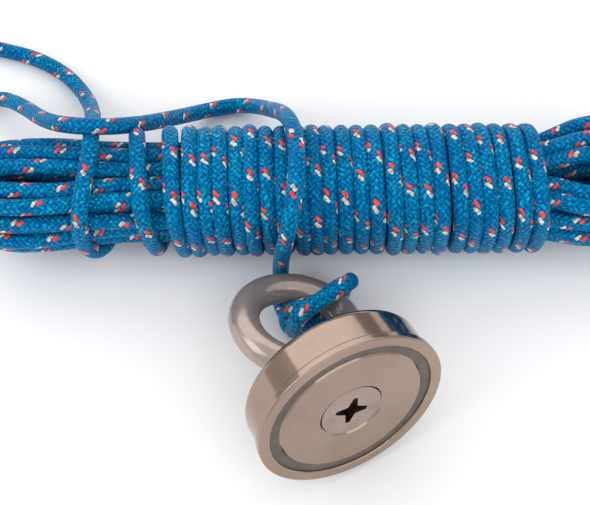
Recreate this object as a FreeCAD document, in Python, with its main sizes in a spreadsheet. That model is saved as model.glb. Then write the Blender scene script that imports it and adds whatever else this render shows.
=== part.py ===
"""Magnet fishing magnet: a pot magnet screwed to a lifting eye nut, tied to a wound hank of braided rope.

Units are millimetres. The floor is z = 0 and the hank lies along X behind the magnet. The origin is on
the floor under the middle of the magnet and its eye. The magnet rests tilted on its back edge, so the
metal pieces are drawn about one local axis, face at local z = 0 and eye towards local -z, and share a
placement.
"""
import FreeCAD, Part
import math
import os
import Sketcher

doc = FreeCAD.newDocument("fishing_magnet")

SIZES = {
    # steel pot
    "lip_radius": 24.4,
    "lip_depth": 2.2,
    "wall_radius": 23.5,
    "cup_height": 11.5,
    "cup_back_round": 2.0,
    "cup_bore_radius": 4.25,
    "pocket_radius": 21.4,
    "pocket_depth": 7.0,
    "lip_round": 0.45,
    # neodymium disc and potting ring
    "disc_radius": 18.9,
    "disc_recess": 0.2,
    "disc_chamfer": 0.4,
    "countersink_radius": 8.5,
    "potting_recess": 0.6,
    # M8 countersunk screw with a cross recess
    "screw_head_radius": 7.9,
    "screw_head_recess": 0.5,
    "screw_head_edge": 0.3,
    "screw_radius": 3.95,
    "screw_tip": 20.3,
    "screw_chamfer": 0.8,
    "cross_reach": 4.3,
    "cross_tip_half": 0.55,
    "cross_waist": 1.35,
    "cross_depth": 3.2,
    "cross_taper": 6.0,
    # toothed lock washer
    "washer_radius": 7.5,
    "washer_bore_radius": 4.2,
    "washer_thickness": 0.8,
    "washer_notch_width": 1.5,
    "washer_notch_depth": 1.3,
    "washer_teeth": 10,
    # M8 lifting eye nut
    "eye_ring_radius": 14.0,
    "eye_bar_radius": 4.0,
    "eye_height": 18.0,
    "collar_radius": 10.0,
    "collar_height": 2.6,
    "collar_chamfer": 0.6,
    "neck_radius": 5.6,
    "neck_height": 8.0,
    "thread_radius": 4.0,
    "bore_reach": 9.4,
    # how the magnet lies: tilt of its face above the horizon, heading and roll, degrees
    "tilt": 19.9,
    "heading": 27.0,
    "roll": 23.5,
    "face_x": 4.45,
    "face_y": -14.37,
    # rope and hank
    "rope_diameter": 4.4,
    "hank_y": 48.4,
    "hank_half_width": 16.2,
    "hank_half_height": 16.0,
    "hank_corner": 11.5,
    "core_half_width": 12.9,
    "core_half_height": 11.5,
    "core_corner": 8.0,
    "core_left": -66.0,
    "core_right": 61.0,
    "wraps_left": -45.5,
    "wraps_right": 60.5,
    "left_end": -94.0,
    "right_end": 95.0,
    "left_bulge": 15.6,
    "right_bulge": 16.0,
    "bulge_half_height": 14.0,
    "bulge_corner": 9.5,
    "left_fold": 10.6,
    "right_fold": 11.0,
    "fold_half_height": 9.5,
    "fold_corner": 6.5,
    "left_wrap_x": -64.6,
    "right_wrap_x": -52.4,
    "knot_angle": 70.0,
    "knot_gap": 0.2,
    "tip_round": 1.2,
}
# A cut has to take away at least this share of a solid, and leave the rest of it.
SMALLEST_CUT = 0.001
LARGEST_CUT = 0.9

sheet = doc.addObject("Spreadsheet::Sheet", "Sizes")
for row, (alias, value) in enumerate(SIZES.items(), start=1):
    sheet.set(f"A{row}", alias)
    sheet.set(f"B{row}", str(value))
    sheet.setAlias(f"B{row}", alias)
doc.recompute()


def size(alias):
    """A driving dimension, read back from the sheet."""
    return float(getattr(sheet, alias))


def in_sheet(expression):
    """The same expression with every alias written as a reference to the sheet."""
    return " ".join(f"Sizes.{word}" if word in SIZES else word for word in expression.split())


def value_of(expression):
    """The number that such an expression stands for."""
    total = 0.0
    sign = 1.0
    for word in expression.split():
        if word == "-":
            sign = -1.0
        elif word == "+":
            sign = 1.0
        else:
            number = size(word) if word in SIZES else float(word)
            total += sign * number
            sign = 1.0
    return total


# ---------------------------------------------------------------- sketch helpers
def new_body(label):
    body = doc.addObject("PartDesign::Body", label)
    body.Label = label
    return body


def new_sketch(body, name, plane):
    """A sketch on one of the body's own origin planes."""
    sketch = body.newObject("Sketcher::SketchObject", name)
    support = next(f for f in body.Origin.OriginFeatures if f.Role == plane)
    sketch.AttachmentSupport = [(support, "")]
    sketch.MapMode = "FlatFace"
    return sketch


def pin_vertex(sketch, line, place, expression, direction):
    """Hold one coordinate of a vertex by the sheet, or by an axis where it is zero."""
    number = value_of(expression)
    if abs(number) < 1e-9:
        axis = -2 if direction == "DistanceX" else -1
        sketch.addConstraint(Sketcher.Constraint("PointOnObject", line, place, axis))
        return
    index = sketch.addConstraint(Sketcher.Constraint(direction, -1, 1, line, place, number))
    name = f"{direction[-1].lower()}_{line}_{place}"
    sketch.renameConstraint(index, name)
    if any(word in SIZES for word in expression.split()):
        sketch.setExpression(f"Constraints.{name}", in_sheet(expression))


def polygon(sketch, corners):
    """A closed outline of straight lines, each corner given as a pair of expressions."""
    points = [FreeCAD.Vector(value_of(x), value_of(y), 0) for x, y in corners]
    first = sketch.GeometryCount
    count = len(points)
    for i in range(count):
        sketch.addGeometry(Part.LineSegment(points[i], points[(i + 1) % count]), False)
    for i in range(count):
        following = first + (i + 1) % count
        sketch.addConstraint(Sketcher.Constraint("Coincident", first + i, 2, following, 1))
    for i, (x, y) in enumerate(corners):
        pin_vertex(sketch, first + i, 1, x, "DistanceX")
        pin_vertex(sketch, first + i, 1, y, "DistanceY")


def circle(sketch, centre_y, radius):
    """A circle centred on the sketch's vertical axis."""
    middle = FreeCAD.Vector(0, value_of(centre_y), 0)
    index = sketch.addGeometry(Part.Circle(middle, FreeCAD.Vector(0, 0, 1), value_of(radius)), False)
    sketch.addConstraint(Sketcher.Constraint("PointOnObject", index, 3, -2))
    pin_vertex(sketch, index, 3, centre_y, "DistanceY")
    held = sketch.addConstraint(Sketcher.Constraint("Radius", index, value_of(radius)))
    sketch.renameConstraint(held, f"radius_{index}")
    sketch.setExpression(f"Constraints.radius_{index}", in_sheet(radius))


def revolve(body, name, corners, feature="PartDesign::Revolution"):
    """Turn a half outline, in radius and local z, about the local z axis."""
    sketch = new_sketch(body, name + "_outline", "XZ_Plane")
    polygon(sketch, corners)
    turned = body.newObject(feature, name)
    turned.Profile = sketch
    turned.ReferenceAxis = (sketch, ["V_Axis"])
    turned.Angle = 360
    sketch.Visibility = False
    doc.recompute()
    return turned


def round_edges(body, base, name, circles, radius_expression):
    """Fillet the circular edges with these radii and local heights."""
    wanted = []
    for number, edge in enumerate(base.Shape.Edges, start=1):
        curve = edge.Curve
        if not hasattr(curve, "Radius") or not hasattr(curve, "Center"):
            continue
        for radius, height in circles:
            if abs(curve.Radius - radius) < 1e-3 and abs(curve.Center.z - height) < 1e-3:
                wanted.append(f"Edge{number}")
    if len(wanted) != len(circles):
        raise RuntimeError(f"{name}: found {len(wanted)} of {len(circles)} edges")
    fillet = body.newObject("PartDesign::Fillet", name)
    fillet.Base = (base, wanted)
    fillet.Radius = value_of(radius_expression)
    fillet.setExpression("Radius", in_sheet(radius_expression))
    doc.recompute()
    return fillet


def check_cut(name, before, after):
    """Stop if a cut took nothing away, or nearly everything."""
    share = (before.Volume - after.Volume) / before.Volume
    if not SMALLEST_CUT < share < LARGEST_CUT:
        raise RuntimeError(f"{name} takes away {share:.4f} of the solid")


def magnet_pose():
    """Where the magnet lies: its face tilted up, headed to the front right, rolled about its axis."""
    turn = (
        FreeCAD.Rotation(FreeCAD.Vector(0, 0, 1), size("heading"))
        * FreeCAD.Rotation(FreeCAD.Vector(1, 0, 0), 90 - size("tilt"))
        * FreeCAD.Rotation(FreeCAD.Vector(0, 0, 1), -size("roll"))
    )
    slope = math.radians(size("tilt"))
    back_round = size("cup_back_round")
    edge_depth = size("cup_height") - back_round
    edge_radius = size("wall_radius") - back_round
    face_height = edge_depth * math.sin(slope) + edge_radius * math.cos(slope) + back_round
    return FreeCAD.Placement(FreeCAD.Vector(size("face_x"), size("face_y"), face_height), turn)


# ---------------------------------------------------------------- magnet
def steel_cup():
    body = new_body("steel_cup")
    pot = revolve(
        body,
        "pot",
        [
            ("cup_bore_radius", "- cup_height"),
            ("wall_radius", "- cup_height"),
            ("wall_radius", "- lip_depth"),
            ("lip_radius", "- lip_depth"),
            ("lip_radius", "0"),
            ("pocket_radius", "0"),
            ("pocket_radius", "- pocket_depth"),
            ("cup_bore_radius", "- pocket_depth"),
        ],
    )
    back = round_edges(
        body, pot, "back_round", [(size("wall_radius"), -size("cup_height"))], "cup_back_round"
    )
    lip_edges = [
        (size("lip_radius"), 0.0),
        (size("lip_radius"), -size("lip_depth")),
        (size("pocket_radius"), 0.0),
    ]
    round_edges(body, back, "lip_rounds", lip_edges, "lip_round")
    return body


def magnet_disc():
    """The neodymium disc, with a right-angled countersink for the screw."""
    body = new_body("magnet_disc")
    revolve(
        body,
        "disc",
        [
            ("cup_bore_radius", "- pocket_depth"),
            ("disc_radius", "- pocket_depth"),
            ("disc_radius", "- disc_recess - disc_chamfer"),
            ("disc_radius - disc_chamfer", "- disc_recess"),
            ("countersink_radius", "- disc_recess"),
            ("cup_bore_radius", "cup_bore_radius - countersink_radius - disc_recess"),
        ],
    )
    return body


def potting_ring():
    """Resin that fills the gap between disc and pot."""
    body = new_body("potting_ring")
    revolve(
        body,
        "potting",
        [
            ("disc_radius", "- pocket_depth"),
            ("pocket_radius", "- pocket_depth"),
            ("pocket_radius", "- potting_recess"),
            ("disc_radius", "- potting_recess"),
        ],
    )
    return body


def countersunk_screw():
    body = new_body("countersunk_screw")
    cone_top = "- screw_head_recess - screw_head_edge"
    head = revolve(
        body,
        "shank_and_head",
        [
            ("0", "- screw_tip"),
            ("screw_radius - screw_chamfer", "- screw_tip"),
            ("screw_radius", "screw_chamfer - screw_tip"),
            ("screw_radius", f"{cone_top} + screw_radius - screw_head_radius"),
            ("screw_head_radius", cone_top),
            ("screw_head_radius", "- screw_head_recess"),
            ("0", "- screw_head_recess"),
        ],
    )
    before = head.Shape.copy()
    sketch = new_sketch(body, "cross_outline", "XY_Plane")
    sketch.AttachmentOffset = FreeCAD.Placement(
        FreeCAD.Vector(0, 0, -size("screw_head_recess")), FreeCAD.Rotation()
    )
    # Four arms, each narrowing from the waist to its tip.
    outline = []
    reach, tip, waist = "cross_reach", "cross_tip_half", "cross_waist"
    for x, y in ((reach, tip), (waist, waist), (tip, reach)):
        outline.append((x, y))
    for x, y in ((tip, reach), (waist, waist), (reach, tip)):
        outline.append((f"- {x}", y))
    for x, y in ((reach, tip), (waist, waist), (tip, reach)):
        outline.append((f"- {x}", f"- {y}"))
    for x, y in ((tip, reach), (waist, waist), (reach, tip)):
        outline.append((x, f"- {y}"))
    polygon(sketch, outline)
    cross = body.newObject("PartDesign::Pocket", "cross_recess")
    cross.Profile = sketch
    cross.Type = 0
    cross.Length = size("cross_depth")
    cross.setExpression("Length", "Sizes.cross_depth")
    cross.TaperAngle = -size("cross_taper")
    sketch.Visibility = False
    doc.recompute()
    check_cut("cross_recess", before, cross.Shape)
    return body


def lock_washer():
    """A ring with outer teeth, kept between pot and eye."""
    body = new_body("lock_washer")
    under = "- cup_height - washer_thickness"
    ring = revolve(
        body,
        "ring",
        [
            ("washer_bore_radius", under),
            ("washer_radius", under),
            ("washer_radius", "- cup_height"),
            ("washer_bore_radius", "- cup_height"),
        ],
    )
    sketch = new_sketch(body, "notch_outline", "XY_Plane")
    sketch.AttachmentOffset = FreeCAD.Placement(
        FreeCAD.Vector(0, 0, -size("cup_height")), FreeCAD.Rotation()
    )
    half = size("washer_notch_width") / 2
    inner = size("washer_radius") - size("washer_notch_depth")
    outer = size("washer_radius") + 1
    corners = [(inner, -half), (outer, -half), (outer, half), (inner, half)]
    polygon(sketch, [(str(x), str(y)) for x, y in corners])
    notch = body.newObject("PartDesign::Pocket", "notch")
    notch.Profile = sketch
    notch.Type = 0
    notch.Length = size("washer_thickness")
    notch.setExpression("Length", "Sizes.washer_thickness")
    sketch.Visibility = False
    doc.recompute()
    check_cut("notch", ring.Shape, notch.Shape)
    teeth = body.newObject("PartDesign::PolarPattern", "notches")
    teeth.Originals = [notch]
    teeth.Axis = (sketch, ["N_Axis"])
    teeth.Angle = 360
    teeth.Occurrences = int(size("washer_teeth"))
    teeth.setExpression("Occurrences", "Sizes.washer_teeth")
    body.Tip = teeth
    doc.recompute()
    return body


def eye_nut():
    """Ring on a collar, with the thread through to the ring's hole."""
    body = new_body("eye_nut")
    base = "- cup_height - washer_thickness"
    revolve(
        body,
        "collar",
        [
            ("0", base),
            ("collar_radius - collar_chamfer", base),
            ("collar_radius", f"{base} - collar_chamfer"),
            ("collar_radius", f"{base} - collar_height"),
            ("neck_radius", f"{base} - neck_height"),
            ("0", f"{base} - neck_height"),
        ],
    )
    sketch = new_sketch(body, "bar_section", "YZ_Plane")
    circle(sketch, f"{base} - eye_height - eye_ring_radius", "eye_bar_radius")
    centre = value_of(f"{base} - eye_height")
    ends = [FreeCAD.Vector(0, centre, 0), FreeCAD.Vector(10, centre, 0)]
    axis = sketch.addGeometry(Part.LineSegment(*ends), True)
    sketch.addConstraint(Sketcher.Constraint("Horizontal", axis))
    pin_vertex(sketch, axis, 1, "0", "DistanceX")
    pin_vertex(sketch, axis, 1, f"{base} - eye_height", "DistanceY")
    pin_vertex(sketch, axis, 2, "10", "DistanceX")
    ring = body.newObject("PartDesign::Revolution", "ring")
    ring.Profile = sketch
    ring.ReferenceAxis = (sketch, ["Axis0"])
    ring.Angle = 360
    sketch.Visibility = False
    doc.recompute()
    whole = ring.Shape.copy()
    bore = revolve(
        body,
        "bore",
        [
            ("0", base),
            ("thread_radius", base),
            ("thread_radius", f"{base} - bore_reach"),
            ("0", f"{base} - bore_reach"),
        ],
        "PartDesign::Groove",
    )
    check_cut("bore", whole, bore.Shape)
    return body


# ---------------------------------------------------------------- hank of rope
def rounded_section(body, name, x, y, half_width, half_height, corner):
    """A rounded rectangle across X, centred at height half the hank, at the given x."""
    sketch = new_sketch(body, name, "YZ_Plane")
    sketch.AttachmentOffset = FreeCAD.Placement(FreeCAD.Vector(0, 0, x), FreeCAD.Rotation())
    centre = FreeCAD.Vector(y, size("hank_half_height"), 0)
    inner_y = half_width - corner
    inner_z = half_height - corner
    sides = [
        ((inner_y, -half_height), (-inner_y, -half_height)),
        ((-half_width, -inner_z), (-half_width, inner_z)),
        ((-inner_y, half_height), (inner_y, half_height)),
        ((half_width, inner_z), (half_width, -inner_z)),
    ]
    corners = [(-inner_y, -inner_z), (-inner_y, inner_z), (inner_y, inner_z), (inner_y, -inner_z)]
    start_angles = [180, 90, 0, 270]
    for (start, end), middle, angle in zip(sides, corners, start_angles):
        sketch.addGeometry(
            Part.LineSegment(
                centre + FreeCAD.Vector(*start, 0),
                centre + FreeCAD.Vector(*end, 0),
            ),
            False,
        )
        bend = Part.Circle(centre + FreeCAD.Vector(*middle, 0), FreeCAD.Vector(0, 0, 1), corner)
        first = math.radians(angle)
        sketch.addGeometry(Part.ArcOfCircle(bend, first, first + math.pi / 2), False)
    for side in range(4):
        line = 2 * side
        arc = line + 1
        sketch.addConstraint(Sketcher.Constraint("Tangent", line, 2, arc, 2))
        sketch.addConstraint(Sketcher.Constraint("Tangent", arc, 1, (line + 2) % 8, 1))
    for arc in (3, 5, 7):
        sketch.addConstraint(Sketcher.Constraint("Equal", 1, arc))
    for line, way in ((0, "Horizontal"), (2, "Vertical"), (4, "Horizontal"), (6, "Vertical")):
        sketch.addConstraint(Sketcher.Constraint(way, line))
    sketch.Visibility = False
    return sketch


def hold_section(sketch, expressions):
    """Bind a rounded section's sides and corner to the sheet."""
    measures = {
        "near": ("DistanceX", -1, 1, 2, 1),
        "far": ("DistanceX", -1, 1, 6, 1),
        "low": ("DistanceY", -1, 1, 0, 1),
        "high": ("DistanceY", -1, 1, 4, 1),
    }
    for name, expression in expressions.items():
        number = value_of(expression)
        if name == "corner":
            index = sketch.addConstraint(Sketcher.Constraint("Radius", 1, number))
        elif abs(number) < 1e-9:
            sketch.addConstraint(Sketcher.Constraint("PointOnObject", 0, 1, -1))
            continue
        else:
            index = sketch.addConstraint(Sketcher.Constraint(*measures[name], number))
        sketch.renameConstraint(index, name)
        sketch.setExpression(f"Constraints.{name}", in_sheet(expression))


def hank_section(body, name, x_expression, width, height, corner, centre="hank_y"):
    """A section of the hank at a place along X, held by the sheet."""
    shape = [value_of(measure) for measure in (x_expression, centre, width, height, corner)]
    sketch = rounded_section(body, name, *shape)
    sketch.setExpression(".AttachmentOffset.Base.z", in_sheet(x_expression))
    hold_section(
        sketch,
        {
            "near": f"{centre} - {width}",
            "far": f"{centre} + {width}",
            "low": f"hank_half_height - {height}",
            "high": f"hank_half_height + {height}",
            "corner": corner,
        },
    )
    doc.recompute()
    return sketch


def prism(label, start, length_expression, sections):
    """Pad the outer section along X and cut the inner one, if there is one."""
    body = new_body(label)
    outer = hank_section(body, label + "_outside", start, *sections[0])
    solid = body.newObject("PartDesign::Pad", label + "_solid")
    solid.Profile = outer
    solid.Type = 0
    solid.Length = value_of(length_expression)
    solid.setExpression("Length", in_sheet(length_expression))
    doc.recompute()
    if len(sections) > 1:
        whole = solid.Shape.copy()
        inner = hank_section(body, label + "_inside", start, *sections[1])
        hollow = body.newObject("PartDesign::Pocket", label + "_hollow")
        hollow.Profile = inner
        hollow.Type = 0
        hollow.Reversed = True
        hollow.Length = value_of(length_expression)
        hollow.setExpression("Length", in_sheet(length_expression))
        doc.recompute()
        check_cut(hollow.Label, whole, hollow.Shape)
    return body


OUTER = ("hank_half_width", "hank_half_height", "hank_corner")
CORE = ("core_half_width", "core_half_height", "core_corner")


def hank_end(label, start, end, bulge, fold):
    """Loft one end of the hank: strands leave the core, spread to a bulge, then fold back."""
    middle = f"{(size(start) + size(end)) / 2:.3f}"
    places = [
        (start, CORE),
        (middle, (bulge, "bulge_half_height", "bulge_corner")),
        (end, (fold, "fold_half_height", "fold_corner")),
    ]
    body = new_body(label)
    sketches = []
    for number, (place, measures) in enumerate(places):
        sketches.append(hank_section(body, f"{label}_section_{number}", place, *measures))
    loft = body.newObject("PartDesign::AdditiveLoft", label + "_loft")
    loft.Profile = sketches[0]
    loft.Sections = sketches[1:]
    loft.Ruled = False
    doc.recompute()
    return body


# ---------------------------------------------------------------- free rope
# The loop leaves the left wrap, lies on the floor behind the hank, turns back and crosses itself on the
# hank's shoulder, lies on the floor again and climbs the hank. The lead goes on over the top and down
# the front, and passes under the crown of the eye.
LOOP_POINTS = [
    (-61.8, 53.5, 30.9),
    (-62.8, 61.6, 27.0),
    (-65.8, 72.5, 15.6),
    (-69.9, 83.1, 5.6),
    (-76.4, 93.7, 2.6),
    (-85.6, 100.3, 2.3),
    (-96.7, 102.4, 2.3),
    (-105.8, 104.3, 2.3),
    (-112.8, 99.7, 2.3),
    (-114.5, 91.4, 2.3),
    (-109.8, 84.6, 2.3),
    (-102.1, 83.6, 2.7),
    (-93.8, 82.4, 4.4),
    (-85.2, 75.3, 11.0),
    (-76.7, 67.1, 22.0),
    (-67.6, 63.6, 31.0),
    (-57.5, 63.6, 31.0),
    (-49.0, 69.6, 22.0),
    (-42.6, 77.4, 9.6),
    (-35.3, 82.5, 3.2),
    (-26.8, 84.4, 2.3),
    (-19.7, 81.6, 5.4),
    (-14.9, 75.4, 14.6),
    (-11.4, 68.0, 26.0),
    (-9.2, 59.1, 35.0),
    (-8.6, 49.8, 37.2),
]
LEAD_POINTS = [
    (-9.2, 41.0, 36.8),
    (-10.8, 33.4, 32.4),
    (-12.8, 29.9, 25.2),
    (-13.8, 29.8, 17.5),
    (-14.2, 29.8, 10.4),
    (-14.3, 27.6, 3.7),
    (-14.2, 21.3, 2.3),
    (-12.6, 16.4, 2.6),
]


# Each arc uses this share of the shorter run beside it.
ARC_SHARE = 0.45


def tangent_path(points):
    """Straight runs joined by tangent arcs, each as large as its two runs allow."""
    corners = [FreeCAD.Vector(*point) for point in points]
    edges = []
    radii = []
    cursor = corners[0]
    for before, corner, after in zip(corners, corners[1:], corners[2:]):
        back = (before - corner).normalize()
        ahead = (after - corner).normalize()
        shorter = min((before - corner).Length, (after - corner).Length)
        trim = ARC_SHARE * shorter
        half_turn = (math.pi - back.getAngle(ahead)) / 2
        radius = trim / math.tan(half_turn)
        radii.append(radius)
        start = corner + back * trim
        end = corner + ahead * trim
        inward = (back + ahead).normalize()
        middle = corner + inward * (radius / math.cos(half_turn) - radius)
        edges.append(Part.LineSegment(cursor, start).toShape())
        edges.append(Part.Arc(start, middle, end).toShape())
        cursor = end
    edges.append(Part.LineSegment(cursor, corners[-1]).toShape())
    return Part.Wire(edges), radii


def rope_tube(label, points):
    """The rope as a round tube along its route."""
    path, radii = tangent_path(points)
    radius = size("rope_diameter") / 2
    start = FreeCAD.Vector(*points[0])
    heading = FreeCAD.Vector(*points[1]) - start
    section = Part.Wire([Part.Circle(start, heading, radius).toShape()])
    tube = path.makePipeShell([section], True, False)
    expected = math.pi * radius**2 * path.Length
    if abs(tube.Volume - expected) > 0.01 * expected:
        raise RuntimeError(f"{label}: volume {tube.Volume:.0f}, expected {expected:.0f}")
    named = ", ".join(f"{value:.1f}" for value in radii)
    print(f"{label}: length {path.Length:.1f} mm, arc radii {named}")
    feature = doc.addObject("Part::Feature", label)
    feature.Label = label
    feature.Shape = tube
    feature.Placement = FreeCAD.Placement()
    return feature


def between(first, second):
    """The point midway between two route points, where one tube hands over to the next."""
    return tuple((a + b) / 2 for a, b in zip(first, second))


# ---------------------------------------------------------------- knot on the eye
TAIL_START = (-7.6, 13.7, 16.6)
TAIL_TIP = (6.6, 22.2, 20.6)


def ring_point(angle, outward, above):
    """A place near the eye's bar: angle from the crown, distance outward, height over its plane."""
    turn = math.radians(angle)
    centre = -(size("cup_height") + size("washer_thickness") + size("eye_height"))
    reach = size("eye_ring_radius") + outward
    return FreeCAD.Vector(reach * math.sin(turn), above, centre - reach * math.cos(turn))


def rope_knot(pose):
    """One turn of rope round the eye's bar, as a ring about the bar."""
    knot = doc.addObject("Part::Torus", "rope_knot")
    knot.Label = "rope_knot"
    knot.setExpression("Radius1", "Sizes.eye_bar_radius + Sizes.knot_gap + Sizes.rope_diameter / 2")
    knot.setExpression("Radius2", "Sizes.rope_diameter / 2")
    along_bar = FreeCAD.Vector(
        math.cos(math.radians(size("knot_angle"))), 0, math.sin(math.radians(size("knot_angle")))
    )
    local = FreeCAD.Placement(
        ring_point(size("knot_angle"), 0, 0),
        FreeCAD.Rotation(FreeCAD.Vector(0, 0, 1), along_bar),
    )
    knot.Placement = pose * local
    doc.recompute()
    return knot


def rope_tail():
    """The rope's end, held over the knot, its tip melted round."""
    start = FreeCAD.Vector(*TAIL_START)
    tip = FreeCAD.Vector(*TAIL_TIP)
    body = new_body("rope_tail")
    radius = size("rope_diameter") / 2
    length = (tip - start).Length
    tail = revolve(
        body,
        "end",
        [("0", "0"), (str(radius), "0"), (str(radius), str(length)), ("0", str(length))],
    )
    fillet = body.newObject("PartDesign::Fillet", "melted_tip")
    tip_edge = next(
        f"Edge{number}"
        for number, edge in enumerate(tail.Shape.Edges, start=1)
        if hasattr(edge.Curve, "Center") and abs(edge.Curve.Center.z - length) < 1e-3
    )
    fillet.Base = (tail, [tip_edge])
    fillet.Radius = size("tip_round")
    fillet.setExpression("Radius", "Sizes.tip_round")
    body.Placement = FreeCAD.Placement(start, FreeCAD.Rotation(FreeCAD.Vector(0, 0, 1), tip - start))
    doc.recompute()
    return body


# ---------------------------------------------------------------- assembly
pose = magnet_pose()
metal = [steel_cup(), magnet_disc(), potting_ring(), countersunk_screw(), lock_washer(), eye_nut()]
for piece in metal:
    piece.Placement = pose

hand_over = between(LOOP_POINTS[-1], LEAD_POINTS[0])
soft = [
    prism("hank_core", "core_left", "core_right - core_left", [CORE]),
    prism("hank_wraps", "wraps_left", "wraps_right - wraps_left", [OUTER, CORE]),
    prism("loose_wrap_left", "left_wrap_x", "rope_diameter", [OUTER, CORE]),
    prism("loose_wrap_right", "right_wrap_x", "rope_diameter", [OUTER, CORE]),
    hank_end("hank_end_left", "core_left", "left_end", "left_bulge", "left_fold"),
    hank_end("hank_end_right", "core_right", "right_end", "right_bulge", "right_fold"),
    rope_tube("rope_loop", LOOP_POINTS + [hand_over]),
    rope_tube("rope_lead", [hand_over] + LEAD_POINTS),
    rope_knot(pose),
    rope_tail(),
]
doc.recompute()

for item in doc.Objects:
    if "Invalid" in item.State or "Error" in item.State:
        raise RuntimeError(f"{item.Name} is {item.State}")

pieces = metal + soft
for piece in pieces:
    if piece.Shape.isNull() or not piece.Shape.isValid():
        raise RuntimeError(f"{piece.Label} has no valid shape")
    if len(piece.Shape.Solids) != 1:
        raise RuntimeError(f"{piece.Label} has {len(piece.Shape.Solids)} solids")

os.makedirs("parts", exist_ok=True)
for piece in pieces:
    piece.Shape.exportStep(f"parts/{piece.Label}.step")
    print(f"{piece.Label}: {piece.Shape.Volume / 1000:.2f} cm3")
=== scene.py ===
"""Looks of the magnet fishing magnet: a nickel pot magnet on an eye nut, tied to a hank of rope.

Everything is in metres in the frame of the CAD model, except the rope's route, which is listed in
millimetres. The whole rope is one cord: its tip, the knot on the eye, the lead up the hank, the
loop behind it, the wraps round the hank and the strands inside.
"""

import math
import random

import bpy
import numpy as np
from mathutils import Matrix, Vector


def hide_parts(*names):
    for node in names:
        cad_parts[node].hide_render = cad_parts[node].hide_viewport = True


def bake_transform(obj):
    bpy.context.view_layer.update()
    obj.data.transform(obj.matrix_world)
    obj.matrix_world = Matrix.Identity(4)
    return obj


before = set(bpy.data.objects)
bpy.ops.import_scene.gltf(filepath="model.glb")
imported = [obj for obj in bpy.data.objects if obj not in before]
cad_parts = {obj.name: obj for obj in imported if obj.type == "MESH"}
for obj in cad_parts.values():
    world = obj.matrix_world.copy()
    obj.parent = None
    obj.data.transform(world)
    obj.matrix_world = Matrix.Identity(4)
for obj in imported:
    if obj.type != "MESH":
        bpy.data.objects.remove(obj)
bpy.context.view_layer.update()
MM = 0.001

# ---------------------------------------------------------------- camera
# The camera looks down over the hank from the magnet's side.
CAMERA_PLACE = (-9.22 * MM, -81.85 * MM, 281.41 * MM)
CAMERA_ELEVATION = math.radians(67)
CAMERA_LENS = 67.3
CAMERA_NEAREST = 0.01


def add_camera():
    data = bpy.data.cameras.new("camera")
    data.lens = CAMERA_LENS
    data.clip_start = CAMERA_NEAREST
    camera = bpy.data.objects.new("camera", data)
    bpy.context.scene.collection.objects.link(camera)
    camera.location = CAMERA_PLACE
    camera.rotation_euler = (math.pi / 2 - CAMERA_ELEVATION, 0, 0)
    bpy.context.scene.camera = camera


# ---------------------------------------------------------------- the rope's route, in millimetres
ROPE = 4.4
HANK_Y = 48.4
HANK_Z = 16.0
LOOP_POINTS = [
    (-61.8, 53.5, 30.9),
    (-62.8, 61.6, 27.0),
    (-64.9, 72.5, 15.6),
    (-69.1, 83.5, 5.6),
    (-75.8, 93.0, 2.6),
    (-85.6, 99.2, 2.3),
    (-96.7, 102.4, 2.3),
    (-105.8, 104.3, 2.3),
    (-112.8, 99.7, 2.3),
    (-114.5, 91.4, 2.3),
    (-109.8, 84.6, 2.3),
    (-102.1, 83.6, 2.7),
    (-93.8, 84.6, 4.4),
    (-85.2, 77.2, 11.4),
    (-76.7, 66.6, 22.4),
    (-67.6, 59.8, 31.6),
    (-57.5, 59.4, 31.6),
    (-49.0, 66.6, 21.0),
    (-42.6, 75.0, 9.6),
    (-35.3, 80.8, 3.2),
    (-26.8, 83.4, 2.3),
    (-19.7, 81.0, 5.4),
    (-15.7, 74.6, 14.6),
    (-12.2, 66.9, 26.0),
    (-9.9, 58.4, 35.0),
    (-8.6, 49.8, 37.2),
]
LEAD_POINTS = [
    (-9.0, 41.0, 36.8),
    (-10.2, 33.4, 32.4),
    (-11.6, 29.9, 25.2),
    (-12.5, 29.8, 17.5),
    (-13.0, 29.8, 10.4),
    (-13.2, 27.6, 3.7),
    (-13.2, 21.6, 2.4),
    (-11.4, 17.0, 4.8),
]
# From the lead's end under the eye's right leg, round it and over it, once round the lead's own
# end, and out to the tip.
KNOT_POINTS = [
    (-8.2, 14.6, 6.2),
    (-4.6, 15.6, 4.2),
    (-2.0, 17.6, 2.5),
    (1.6, 20.8, 2.3),
    (3.8, 24.4, 4.4),
    (3.6, 24.2, 10.6),
    (1.4, 21.4, 14.2),
    (-3.9, 17.6, 13.1),
    (-8.4, 17.4, 10.8),
    (-11.6, 18.2, 6.6),
    (-11.4, 15.8, 2.6),
    (-9.6, 12.9, 4.6),
    (-9.4, 12.2, 10.4),
    (-8.6, 13.0, 15.2),
    (-4.6, 15.6, 17.6),
    (1.0, 18.9, 18.8),
    (6.6, 22.2, 20.6),
]

# From under the last wrap into the hank.
TUCK_POINTS = [
    (55.8, 52.6, 2.4),
    (58.6, 56.8, 3.6),
    (62.6, 58.8, 5.2),
]
ROUTE_SEED = 11

# Each wrap passes over the hank from a far place to a near place along X.
LOOSE_WRAPS = [(-61.2, -65.0), (-52.0, -47.0)]
TIGHT_WRAPS = 24
FIRST_TIGHT = -43.1
FIRST_GAPS = (5.3, 4.3)
LAST_TIGHT = 50.8
WRAP_HALF_WIDTH = 14.5
WRAP_HALF_HEIGHT = 13.75
WRAP_SQUARENESS = 2.9
POINTS_A_TURN = 16
# The loop joins the first wrap past its top, and the last wrap ends under the hank.
FIRST_WRAP_START = 5
LAST_WRAP_STOP = 12
HANK_SKEW = 0.011
# How far a tight wrap leans along X: everywhere, and what the first and the last ones add to it.
LEAN = 1.9
FIRST_LEAN = 2.1
FIRST_LEAN_FADE = 0.8
LAST_LEAN = 2.3
LAST_LEAN_POWER = 4
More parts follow.
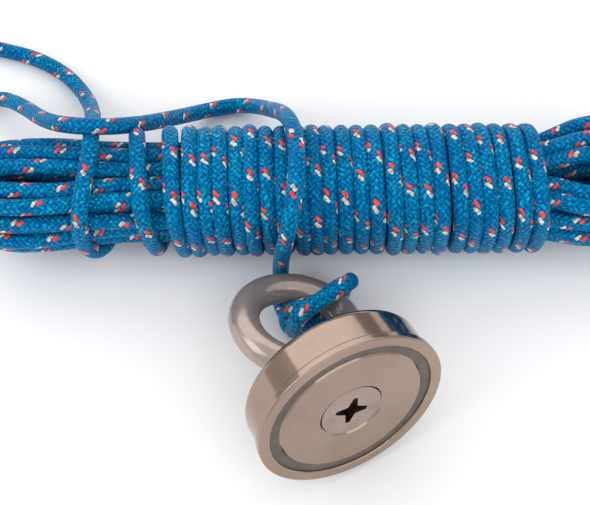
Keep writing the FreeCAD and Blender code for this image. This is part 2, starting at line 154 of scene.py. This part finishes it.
# How much chance moves each wrap, its lean, and its half width and height.
PLACE_WANDER = 0.25
LEAN_WANDER = 0.4
WIDTH_WANDER = (-0.2, 0.35)
HEIGHT_WANDER = (-0.1, 0.25)

# The strands inside: rows up the hank, each a few nested laps with round ends.
ROW_LAPS = {-2: 2, -1: 3, 1: 3, 2: 2, 0: 3}
STRAND_SPACING = 4.1
ROW_SPACING = 4.2
BULGE_SPACING = 4.5
BULGE_ROW_SPACING = 4.8
ROW_STAGGER = 1.9
# Places along X where the strands spread, each with its share of the spread.
LEFT_STATIONS = ((-46.0, 0.0), (-61.0, 0.15), (-71.0, 0.8), (-83.5, 1.0))
RIGHT_STATIONS = ((53.0, 0.0), (60.0, 0.5), (68.0, 1.0), (78.0, 1.0))
INSIDE_PLACES = (30.0, 5.0, -20.0)
# The spread strands at each end: the innermost one's depth, and the bundle's shift and roll.
LEFT_BUNDLE = (4.0, -2.0, math.radians(-7))
RIGHT_BUNDLE = (5.7, 0.0, math.radians(3))
STRAND_WANDER = 0.6
END_TURN_DEGREES = (30, 60, 90, 120, 150)
LEFT_TIP = -94.8
RIGHT_TIP = 92.4
LEFT_TIP_WANDER = (-0.2, 1.0)
RIGHT_TIP_WANDER = (-1.0, 0.2)
# How much shorter each nested turn is, and how far a turn that changes rows goes past the others.
END_STEP = 4.6
ROW_CHANGE_REACH = 4.4


def middle_y(x):
    """The hank's middle line, which runs slightly askew."""
    return HANK_Y + HANK_SKEW * (x + 43)


def squared(value):
    """A sine or cosine, changed so that a circle becomes the hank's rounded square."""
    return math.copysign(abs(value) ** (2 / WRAP_SQUARENESS), value)


def wrap_point(x, angle, half_width, half_height):
    """A place on the rounded section of the hank: 0 is its back, a quarter turn on is its top."""
    across = squared(math.cos(angle))
    upward = squared(math.sin(angle))
    return (x, middle_y(x) + half_width * across, HANK_Z + half_height * upward)


def wrap_places(chance):
    """Where each wrap crosses the far and the near side of the hank's top."""
    places = list(LOOSE_WRAPS)
    far = FIRST_TIGHT
    evenly = (LAST_TIGHT - FIRST_TIGHT - sum(FIRST_GAPS)) / (TIGHT_WRAPS - 1 - len(FIRST_GAPS))
    for number in range(TIGHT_WRAPS):
        at_first = FIRST_LEAN * math.exp(-number / FIRST_LEAN_FADE)
        at_last = LAST_LEAN * (number / TIGHT_WRAPS) ** LAST_LEAN_POWER
        place = far + chance.uniform(-PLACE_WANDER, PLACE_WANDER)
        lean = LEAN + at_first + at_last + chance.uniform(-LEAN_WANDER, LEAN_WANDER)
        places.append((place, place + lean))
        far += FIRST_GAPS[number] if number < len(FIRST_GAPS) else evenly
    return places


def wrap_route(chance):
    """The wraps from the top of the first one to under the last one."""
    places = wrap_places(chance)
    points = []
    for number, (far, near) in enumerate(places):
        is_last = number + 1 == len(places)
        following = near if is_last else places[number + 1][0]
        width = WRAP_HALF_WIDTH + chance.uniform(*WIDTH_WANDER)
        height = WRAP_HALF_HEIGHT + chance.uniform(*HEIGHT_WANDER)
        first = FIRST_WRAP_START if number == 0 else 0
        stop = LAST_WRAP_STOP if is_last else POINTS_A_TURN
        for step in range(first, stop):
            angle = math.tau * step / POINTS_A_TURN
            over = step / (POINTS_A_TURN / 2)
            if over <= 1:
                x = far + (near - far) * over
            else:
                x = near + (following - near) * (over - 1)
            points.append(wrap_point(x, angle, width, height))
    return points


def strand_station(x, column, row, spread, side):
    """Depth and height of one strand: spread is 0 when packed in the wraps, 1 in the bulge."""
    first, shift, roll = RIGHT_BUNDLE if x > 0 else LEFT_BUNDLE
    packed = (column + 0.5) * STRAND_SPACING
    bulged = first + column * BULGE_SPACING
    depth = side * (packed + (bulged - packed) * spread) + ROW_STAGGER * spread * (row % 2)
    height = row * (ROW_SPACING + (BULGE_ROW_SPACING - ROW_SPACING) * spread)
    turn = roll * spread
    rolled_depth = depth * math.cos(turn) - height * math.sin(turn)
    rolled_height = depth * math.sin(turn) + height * math.cos(turn)
    return middle_y(x) + shift * spread + rolled_depth, HANK_Z + rolled_height


def run_out(column, row, side, stations, chance):
    """One strand from inside the wraps to where it starts to turn at an end."""
    points = []
    for x, spread in stations:
        y, z = strand_station(x, column, row, spread, side)
        wander = STRAND_WANDER * spread
        points.append((x, y + chance.uniform(-wander, wander), z + chance.uniform(-wander, wander)))
    return points


def run_inside(column, row, side):
    """One strand's hidden run inside the wraps, from right to left."""
    return [(x, *strand_station(x, column, row, 0.0, side)) for x in INSIDE_PLACES]


def round_end(start, finish, tip):
    """The turn at an end of the hank, from one strand's last point to the next one's first."""
    points = []
    reach = tip - start[0]
    middle = [(a + b) / 2 for a, b in zip(start, finish)]
    for degrees in END_TURN_DEGREES:
        turn = math.radians(degrees)
        x = middle[0] + reach * math.sin(turn)
        y = middle[1] + (start[1] - middle[1]) * math.cos(turn)
        z = middle[2] + (start[2] - middle[2]) * math.cos(turn)
        points.append((x, y, z))
    return points


def core_route(chance):
    """The strands inside the hank, lap after lap, ending in the middle of the hank."""
    laps = [(row, column) for row, count in ROW_LAPS.items() for column in reversed(range(count))]
    outermost = max(ROW_LAPS.values()) - 1
    points = []
    for number, (row, column) in enumerate(laps):
        out = run_out(column, row, 1, RIGHT_STATIONS, chance)
        back = run_out(column, row, -1, RIGHT_STATIONS, chance)
        shorter = END_STEP * (outermost - column)
        right_tip = RIGHT_TIP - shorter + chance.uniform(*RIGHT_TIP_WANDER)
        # The first lap comes in from under the wraps, past its first two places.
        begun = out[2:] if number == 0 else out
        points += begun + round_end(out[-1], back[-1], right_tip) + back[::-1]
        points += run_inside(column, row, -1)
        if number + 1 == len(laps):
            break
        next_row, next_column = laps[number + 1]
        leave = run_out(column, row, -1, LEFT_STATIONS, chance)
        enter = run_out(next_column, next_row, 1, LEFT_STATIONS, chance)
        shorter = END_STEP * (outermost - max(column, next_column))
        further = ROW_CHANGE_REACH if next_row != row else 0.0
        left_tip = LEFT_TIP + shorter - further + chance.uniform(*LEFT_TIP_WANDER)
        points += leave + round_end(leave[-1], enter[-1], left_tip) + enter[::-1]
        points += run_inside(next_column, next_row, 1)[::-1]
    return points


def rope_route():
    """The route's points in order, from the rope's tip at the knot to its end inside the hank."""
    chance = random.Random(ROUTE_SEED)
    free = KNOT_POINTS[::-1] + LEAD_POINTS[::-1] + LOOP_POINTS[::-1]
    return free + wrap_route(chance) + TUCK_POINTS + core_route(chance)


# Steps of the smooth line from one route point to the next.
LINE_RESOLUTION = 8


def smooth_line(points):
    """Points, in metres, along the NURBS spline that has the route as its control points."""
    curve = bpy.data.curves.new("route", "CURVE")
    curve.dimensions = "3D"
    spline = curve.splines.new("NURBS")
    spline.points.add(len(points) - 1)
    for spot, point in zip(spline.points, points):
        spot.co = (point[0] * MM, point[1] * MM, point[2] * MM, 1)
    spline.order_u = 3
    spline.use_endpoint_u = True
    spline.resolution_u = LINE_RESOLUTION
    holder = bpy.data.objects.new("route", curve)
    bpy.context.scene.collection.objects.link(holder)
    bpy.context.view_layer.update()
    mesh = bpy.data.meshes.new_from_object(holder)
    line = np.array([tuple(vertex.co) for vertex in mesh.vertices])
    bpy.data.objects.remove(holder)
    bpy.data.curves.remove(curve)
    bpy.data.meshes.remove(mesh)
    return line


# ---------------------------------------------------------------- rope mesh
SIDES = 16
ROW_STEP = 0.9 * MM
SMALLEST_RADIUS = 0.02 * MM
# The rounded tip, with the extra rings on it as shares of its length.
TIP_ROUND = 1.9 * MM
TIP_RINGS = (0.02, 0.08, 0.2, 0.4, 0.65)
# The melted stretch at each end, and the share of it over which the braid fades.
MELTED = 2.6 * MM
MELT_FADE = 0.4
# One turn of a strand, in rope diameters.
BRAID_PITCH = 2.75
# Waves in the rope's twist: turns, length in metres, and phase.
TWISTS = ((0.35, 0.047, 0.0), (0.25, 0.019, 1.0))


def travelled(line):
    """Distance along the line at each of its points."""
    return np.concatenate([[0.0], np.cumsum(np.linalg.norm(np.diff(line, axis=0), axis=1))])


def frames_along(line):
    """Two directions across the line at each point, carried along it without twist."""
    ahead = np.gradient(line, axis=0)
    ahead /= np.linalg.norm(ahead, axis=1)[:, None]
    across = np.zeros_like(line)
    first = np.cross(ahead[0], (0.0, 0.0, 1.0))
    across[0] = first / np.linalg.norm(first)
    for i in range(1, len(line)):
        carried = across[i - 1] - ahead[i] * np.dot(across[i - 1], ahead[i])
        across[i] = carried / np.linalg.norm(carried)
    return across, np.cross(ahead, across)


def rope_rows(line):
    """Where the tube's rings go: even steps, and close together where each end is rounded."""
    length = travelled(line)[-1]
    even = np.linspace(0, length, int(length / ROW_STEP))
    rounding = TIP_ROUND * np.array(TIP_RINGS)
    return np.unique(np.concatenate([even, rounding, length - rounding]))


def build_rope(line, material):
    """The rope's tube along the line, with rounded ends, and its length."""
    distance = travelled(line)
    rows = rope_rows(line)
    centres = np.stack([np.interp(rows, distance, line[:, axis]) for axis in range(3)], axis=1)
    across, upward = frames_along(centres)
    from_end = np.minimum(rows, distance[-1] - rows)
    inside = np.clip(from_end / TIP_ROUND, 0, 1)
    radius = 0.5 * ROPE * MM * np.sqrt(1 - (1 - inside) ** 2)
    radius = np.maximum(radius, SMALLEST_RADIUS)
    turns = (np.arange(SIDES) * math.tau / SIDES)[None, :, None]
    ring = across[:, None, :] * np.cos(turns) + upward[:, None, :] * np.sin(turns)
    vertices = (centres[:, None, :] + ring * radius[:, None, None]).reshape(-1, 3)

    row = np.arange(len(rows) - 1)[:, None] * SIDES
    side = np.arange(SIDES)[None, :]
    following = (side + 1) % SIDES
    next_row = row + SIDES
    faces = np.stack([row + side, row + following, next_row + following, next_row + side], axis=2)
    ends = [tuple(range(SIDES))[::-1], tuple(range(len(vertices) - SIDES, len(vertices)))]
    mesh = bpy.data.meshes.new("rope")
    mesh.from_pydata(vertices.tolist(), [], faces.reshape(-1, 4).tolist() + ends)
    mesh.shade_smooth()

    # The braid's own coordinates at each face corner: the turn about the rope, the pitches along
    # it, and how melted it is.
    twist = sum(share * np.sin(rows / length + phase) for share, length, phase in TWISTS)
    pitches = rows / (BRAID_PITCH * ROPE * MM)
    melted = np.clip((MELTED - from_end) / (MELT_FADE * MELTED), 0, 1)
    low = np.arange(len(rows) - 1)
    corner_rows = np.stack([low, low, low + 1, low + 1], axis=1)[:, None, :].repeat(SIDES, axis=1)
    corner_sides = np.stack([side[0], side[0] + 1, side[0] + 1, side[0]], axis=1)[None, :, :]
    about = corner_sides / SIDES + twist[corner_rows]
    values = np.stack([about, pitches[corner_rows], melted[corner_rows]], axis=3).reshape(-1, 3)
    caps = np.tile([0.0, 0.0, 1.0], (2 * SIDES, 1))
    braid = mesh.attributes.new("braid", "FLOAT_VECTOR", "CORNER")
    braid.data.foreach_set("vector", np.concatenate([values, caps]).ravel())

    rope = bpy.data.objects.new("rope", mesh)
    bpy.context.scene.collection.objects.link(rope)
    mesh.materials.append(material)
    return rope, distance[-1]


# ---------------------------------------------------------------- node helpers
class Nodes:
    """A node tree, with short calls for the nodes that the materials and the world use."""

    def __init__(self, tree):
        self.tree = tree

    def put(self, socket, value):
        if isinstance(value, bpy.types.NodeSocket):
            self.tree.links.new(value, socket)
        else:
            socket.default_value = value

    def fill(self, node, **values):
        """Set or link a node's inputs, whose names are given with _ for each space."""
        for name, value in values.items():
            self.put(node.inputs[name.replace("_", " ")], value)

    def new(self, kind, **values):
        node = self.tree.nodes.new(kind)
        self.fill(node, **values)
        return node

    def math(self, operation, *values):
        node = self.new("ShaderNodeMath")
        node.operation = operation
        for socket, value in zip(node.inputs, values):
            self.put(socket, value)
        return node.outputs[0]

    def noise(self, scale, detail, stretch=(1, 1, 1)):
        place = self.new("ShaderNodeTexCoord").outputs["Object"]
        mapped = self.new("ShaderNodeMapping", Vector=place, Scale=stretch).outputs["Vector"]
        node = self.new("ShaderNodeTexNoise", Vector=mapped, Scale=scale, Detail=detail)
        return node.outputs["Fac"]

    def mix(self, share, first, second, kind="RGBA"):
        """A mix of two colours, or of two numbers when kind is FLOAT."""
        node = self.new("ShaderNodeMix", Factor=share)
        node.data_type = kind
        wanted = "VALUE" if kind == "FLOAT" else kind
        sockets = [socket for socket in node.inputs if socket.type == wanted]
        for socket, value in zip(sockets[-2:], (first, second)):
            self.put(socket, value)
        return next(out for out in node.outputs if out.type == wanted)

    def spread(self, value, low, high, to_low=0.0, to_high=1.0):
        """The value, held between low and high and moved to another range."""
        node = self.new("ShaderNodeMapRange", Value=value, From_Min=low, From_Max=high)
        self.fill(node, To_Min=to_low, To_Max=to_high)
        node.clamp = True
        return node.outputs["Result"]


class Surface(Nodes):
    """A new material's node tree and its shader."""

    def __init__(self, name):
        self.material = bpy.data.materials.new(name)
        self.material.use_nodes = True
        super().__init__(self.material.node_tree)
        self.shader = self.tree.nodes["Principled BSDF"]

    def set(self, **values):
        self.fill(self.shader, **values)

    def bump(self, height, distance):
        node = self.new("ShaderNodeBump", Distance=distance, Height=height)
        self.set(Normal=node.outputs["Normal"])


def colour(screen):
    """A screen colour, 0 to 255, as linear RGBA."""
    linear = []
    for value in screen:
        share = value / 255
        linear.append(share / 12.92 if share <= 0.04045 else ((share + 0.055) / 1.055) ** 2.4)
    return (*linear, 1.0)


# ---------------------------------------------------------------- materials
# Screen colours. A pair is what a noise mixes over the surface.
# The rope's blue, then the vivid cyan of its painted glint.
ROPE_BLUE_AND_PAINTED_GLINT = ((0, 100, 156), (0, 186, 222))
ROPE_DRIFT = (0, 88, 150)
# The navy of the painted shade in the dips between yarn floats.
ROPE_CREVICE_SHADE = (0, 46, 112)
ROPE_REDS = ((212, 50, 48), (250, 96, 72))
ROPE_CREAMS = ((166, 142, 118), (244, 232, 216))
ROPE_MELTED = (0, 82, 128)
ROPE_GLOSS = (60, 190, 255)
NICKEL = ((162, 142, 130), (150, 130, 119))
NICKEL_STAIN = (136, 114, 102)
NICKEL_OLIVE = (163, 146, 122)
STEEL = ((172, 156, 148), (163, 147, 140))
ZINC = ((168, 150, 141), (153, 136, 127))
RESIN = ((84, 72, 65), (70, 60, 54))
RESIN_PITS = (48, 42, 40)
FLOOR = (246, 246, 247)

# The braid: strands in each family, cells in its pattern, how square a yarn float is across and
# along the rope, and the filaments' waves along the strand's width.
CARRIERS = 8
CELLS = 4
FLOAT_ACROSS = 2.4
FLOAT_ALONG = 3.0
FILAMENT_WAVES = 40
RED_STRAND = 2
CREAM_STRAND = 3
SAME_STRAND = 0.4


def braided_rope():
    """Sixteen strands in two families, over two and under two, with a red and a cream tracer."""
    n = Surface("braided_rope")
    own = n.new("ShaderNodeAttribute")
    own.attribute_name = "braid"
    about, along, melted = n.new("ShaderNodeSeparateXYZ", Vector=own.outputs["Vector"]).outputs

    left = n.math("MULTIPLY", n.math("SUBTRACT", about, along), CARRIERS)
    right = n.math("MULTIPLY", n.math("ADD", about, along), CARRIERS)
    right_strand = n.math("FLOOR", right)
    left_strand = n.math("FLOOR", left)
    cell = n.math("FLOORED_MODULO", n.math("ADD", right_strand, left_strand), CELLS)
    right_on_top = n.math("LESS_THAN", cell, CELLS / 2 - 0.5)

    def float_height(across, onward, start):
        """A yarn float two cells long: round across, and dipping at both ends."""
        side = n.math("SUBTRACT", n.math("MULTIPLY", n.math("FRACT", across), 2), 1)
        dip_across = n.math("POWER", n.math("ABSOLUTE", side), FLOAT_ACROSS)
        phase = n.math("SUBTRACT", n.math("FLOORED_MODULO", onward, CELLS), start + 1)
        dip_along = n.math("POWER", n.math("ABSOLUTE", phase), FLOAT_ALONG)
        along_shape = n.math("MAXIMUM", n.math("SUBTRACT", 1, dip_along), 0.0)
        return n.math("MULTIPLY", n.math("SUBTRACT", 1, dip_across), along_shape)

    right_height = float_height(right, n.math("ADD", right_strand, left), 0)
    left_height = float_height(left, n.math("ADD", left_strand, right), CELLS / 2)
    height = n.mix(right_on_top, left_height, right_height, "FLOAT")

    # Fine yarn filaments run along each float.
    filament_right = n.math("SINE", n.math("MULTIPLY", right, FILAMENT_WAVES))
    filament_left = n.math("SINE", n.math("MULTIPLY", left, FILAMENT_WAVES))
    filament = n.mix(right_on_top, filament_left, filament_right, "FLOAT")

    patches = n.noise(1300, 3.0)
    drift = n.noise(60, 2.0)
    # Painted highlight: a fine speckle noise lifts the blue to vivid cyan glints.
    painted_glint = n.spread(n.math("ADD", patches, n.math("MULTIPLY", filament, 0.05)), 0.48, 0.66)
    blue = n.mix(painted_glint, *map(colour, ROPE_BLUE_AND_PAINTED_GLINT))
    blue = n.mix(n.spread(drift, 0.35, 0.7, 0.0, 0.5), blue, colour(ROPE_DRIFT))
    # Painted shade: the colour darkens towards navy where the floats dip.
    blue = n.mix(n.spread(height, 0.0, 0.4, 0.8, 0.0), blue, colour(ROPE_CREVICE_SHADE))

    # The tracers show where their strand is on top, with ragged edges.
    number = n.math("FLOORED_MODULO", right_strand, CARRIERS)
    uneven = n.math("MULTIPLY", n.math("SUBTRACT", patches, 0.5), 0.9)
    ragged = n.math("ADD", height, uneven)
    proud = n.math("MULTIPLY", right_on_top, n.spread(ragged, 0.18, 0.42))
    coloured = blue
    # The tracers turn lighter where the same speckle noise paints the glint on the blue.
    speckle_lighter = n.spread(patches, 0.36, 0.62)
    for strand, tracer in ((RED_STRAND, ROPE_REDS), (CREAM_STRAND, ROPE_CREAMS)):
        share = n.math("MULTIPLY", n.math("COMPARE", number, strand, SAME_STRAND), proud)
        coloured = n.mix(share, coloured, n.mix(speckle_lighter, *map(colour, tracer)))
    coloured = n.mix(melted, coloured, colour(ROPE_MELTED))
    rough = n.spread(patches, 0.3, 0.7, 0.36, 0.55)
    n.set(Base_Color=coloured, Roughness=rough)
    n.set(Specular_IOR_Level=0.26, Specular_Tint=colour(ROPE_GLOSS))
    relief = n.math("MULTIPLY", height, n.math("SUBTRACT", 1, melted))
    relief = n.math("ADD", relief, n.math("MULTIPLY", filament, 0.03))
    n.bump(relief, 0.3 * MM)
    return n.material


def nickel_plate():
    """Bright nickel plating with a warm cast, faint cloudiness and fine handling scratches."""
    n = Surface("nickel_plate")
    cloud = n.noise(55, 4.0)
    speck = n.noise(2600, 2.0)
    scratch = n.noise(240, 4.0, stretch=(1, 9, 1))
    base = n.mix(n.spread(cloud, 0.35, 0.65), *map(colour, NICKEL))
    stain = n.spread(n.noise(130, 5.0), 0.66, 0.78, 0.0, 0.3)
    base = n.mix(stain, base, colour(NICKEL_STAIN))
    olive = n.spread(n.noise(38, 3.0), 0.48, 0.68, 0.0, 0.55)
    base = n.mix(olive, base, colour(NICKEL_OLIVE))
    scuffed = n.spread(scratch, 0.55, 0.75, 0.0, 0.06)
    rough = n.math("ADD", n.spread(cloud, 0.3, 0.7, 0.07, 0.13), scuffed)
    n.set(Base_Color=base, Roughness=rough, Metallic=1.0)
    relief = n.math("ADD", n.math("MULTIPLY", speck, 0.3), n.math("MULTIPLY", scratch, 0.5))
    n.bump(relief, 0.008 * MM)
    return n.material


def polished_steel():
    """Forged and polished steel of the eye, slightly wavy."""
    n = Surface("polished_steel")
    wave = n.noise(160, 3.0)
    wear = n.noise(700, 4.0)
    base = n.mix(n.spread(wear, 0.4, 0.7), *map(colour, STEEL))
    n.set(Base_Color=base, Roughness=n.spread(wear, 0.35, 0.75, 0.16, 0.23), Metallic=0.5)
    n.bump(wave, 0.04 * MM)
    return n.material


def zinc_steel():
    """Zinc plated screw and washer, duller than the nickel."""
    n = Surface("zinc_steel")
    grain = n.noise(1500, 3.0)
    cloud = n.noise(190, 3.0)
    base = n.mix(n.spread(cloud, 0.35, 0.7), *map(colour, ZINC))
    n.set(Base_Color=base, Roughness=n.spread(grain, 0.3, 0.7, 0.18, 0.3), Metallic=1.0)
    n.bump(grain, 0.02 * MM)
    return n.material


def potting_resin():
    """Grey-brown epoxy, slightly uneven, with tiny pits."""
    n = Surface("potting_resin")
    cloud = n.noise(240, 3.0)
    pits = n.spread(n.noise(1500, 2.0), 0.66, 0.72)
    base = n.mix(n.spread(cloud, 0.35, 0.7), *map(colour, RESIN))
    base = n.mix(pits, base, colour(RESIN_PITS))
    n.set(Base_Color=base, Roughness=n.spread(cloud, 0.3, 0.7, 0.34, 0.5), Coat_Weight=0.15)
    n.bump(n.math("SUBTRACT", cloud, n.math("MULTIPLY", pits, 0.5)), 0.08 * MM)
    return n.material


def pale_floor():
    n = Surface("pale_floor")
    n.set(Base_Color=colour(FLOOR), Roughness=0.75)
    return n.material


# ---------------------------------------------------------------- pieces
def add_rope():
    line = smooth_line(rope_route())
    rope, length = build_rope(line, braided_rope())
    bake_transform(rope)
    soft_nodes = [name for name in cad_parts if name.startswith(("hank_", "loose_", "rope_"))]
    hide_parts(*soft_nodes)
    print(f"rope: {length:.3f} m, {len(rope.data.polygons)} faces")


def finish_metal():
    """Give the CAD pieces that stay their own materials."""
    nickel = nickel_plate()
    zinc = zinc_steel()
    finishes = {
        "steel_cup": nickel,
        "magnet_disc": nickel,
        "eye_nut": polished_steel(),
        "potting_ring": potting_resin(),
        "countersunk_screw": zinc,
        "lock_washer": zinc,
    }
    for name, material in finishes.items():
        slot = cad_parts[name].material_slots[0]
        slot.link = "OBJECT"
        slot.material = material


# ---------------------------------------------------------------- floor and light
FLOOR_REACH = 12.0
# Each light's place, its width and height, and its watts.
LIGHTS = {
    "back_softbox": ((-0.2, 0.95, 0.78), (2.4, 0.9), 6.0),
    "side_softbox": ((-0.9, -0.1, 0.7), (0.7, 0.7), 2.6),
    "front_softbox": ((0.4, -0.6, 0.6), (0.9, 0.7), 1.6),
}
LIGHT_AIM = (0, 0.03, 0.01)
# Brightness of the surround at heights from the horizon (0) to straight up (1).
WORLD_SHADES = ((0.0, 0.78), (0.12, 0.8), (0.4, 0.86), (0.9, 0.95))
WORLD_STRENGTH = 1.02
# How dark the surround gets behind the hank, and where that starts and is full along Y and Z.
WORLD_DARKEST = 0.5
WORLD_BEHIND = (0.0, 0.6)
WORLD_LOW = (0.45, 0.2)


def add_floor():
    mesh = bpy.data.meshes.new("floor")
    ways = ((-1, -1), (1, -1), (1, 1), (-1, 1))
    corners = [(across * FLOOR_REACH, back * FLOOR_REACH, 0) for across, back in ways]
    mesh.from_pydata(corners, [], [(0, 1, 2, 3)])
    mesh.materials.append(pale_floor())
    floor = bpy.data.objects.new("floor", mesh)
    bpy.context.scene.collection.objects.link(floor)


def add_light(name, place, size, watts):
    data = bpy.data.lights.new(name, "AREA")
    data.energy = watts
    data.shape = "RECTANGLE"
    data.size, data.size_y = size
    light = bpy.data.objects.new(name, data)
    bpy.context.scene.collection.objects.link(light)
    light.location = place
    towards_aim = Vector(LIGHT_AIM) - Vector(place)
    light.rotation_euler = towards_aim.to_track_quat("-Z", "Y").to_euler()


def add_world():
    """A pale surround, darker low down behind the hank, so that polished metal has edges."""
    world = bpy.data.worlds.new("surround")
    bpy.context.scene.world = world
    world.use_nodes = True
    n = Nodes(world.node_tree)
    place = n.new("ShaderNodeTexCoord").outputs["Generated"]
    parts = n.new("ShaderNodeSeparateXYZ", Vector=place)
    ramp = n.new("ShaderNodeValToRGB", Fac=parts.outputs["Z"])
    stops = ramp.color_ramp.elements
    while len(stops) < len(WORLD_SHADES):
        stops.new(0.5)
    for stop, (height, shade) in zip(stops, WORLD_SHADES):
        stop.position = height
        stop.color = (shade, shade, shade, 1)
    behind = n.spread(parts.outputs["Y"], *WORLD_BEHIND, 0.0, WORLD_DARKEST)
    low = n.spread(parts.outputs["Z"], *WORLD_LOW)
    black = (0, 0, 0, 1)
    shaded = n.mix(n.math("MULTIPLY", behind, low), ramp.outputs["Color"], black)
    n.fill(world.node_tree.nodes["Background"], Color=shaded, Strength=WORLD_STRENGTH)


def add_stage():
    add_floor()
    add_world()
    for name, (place, size, watts) in LIGHTS.items():
        add_light(name, place, size, watts)
    bpy.context.scene.view_settings.view_transform = "Standard"


add_camera()
add_rope()
finish_metal()
add_stage()
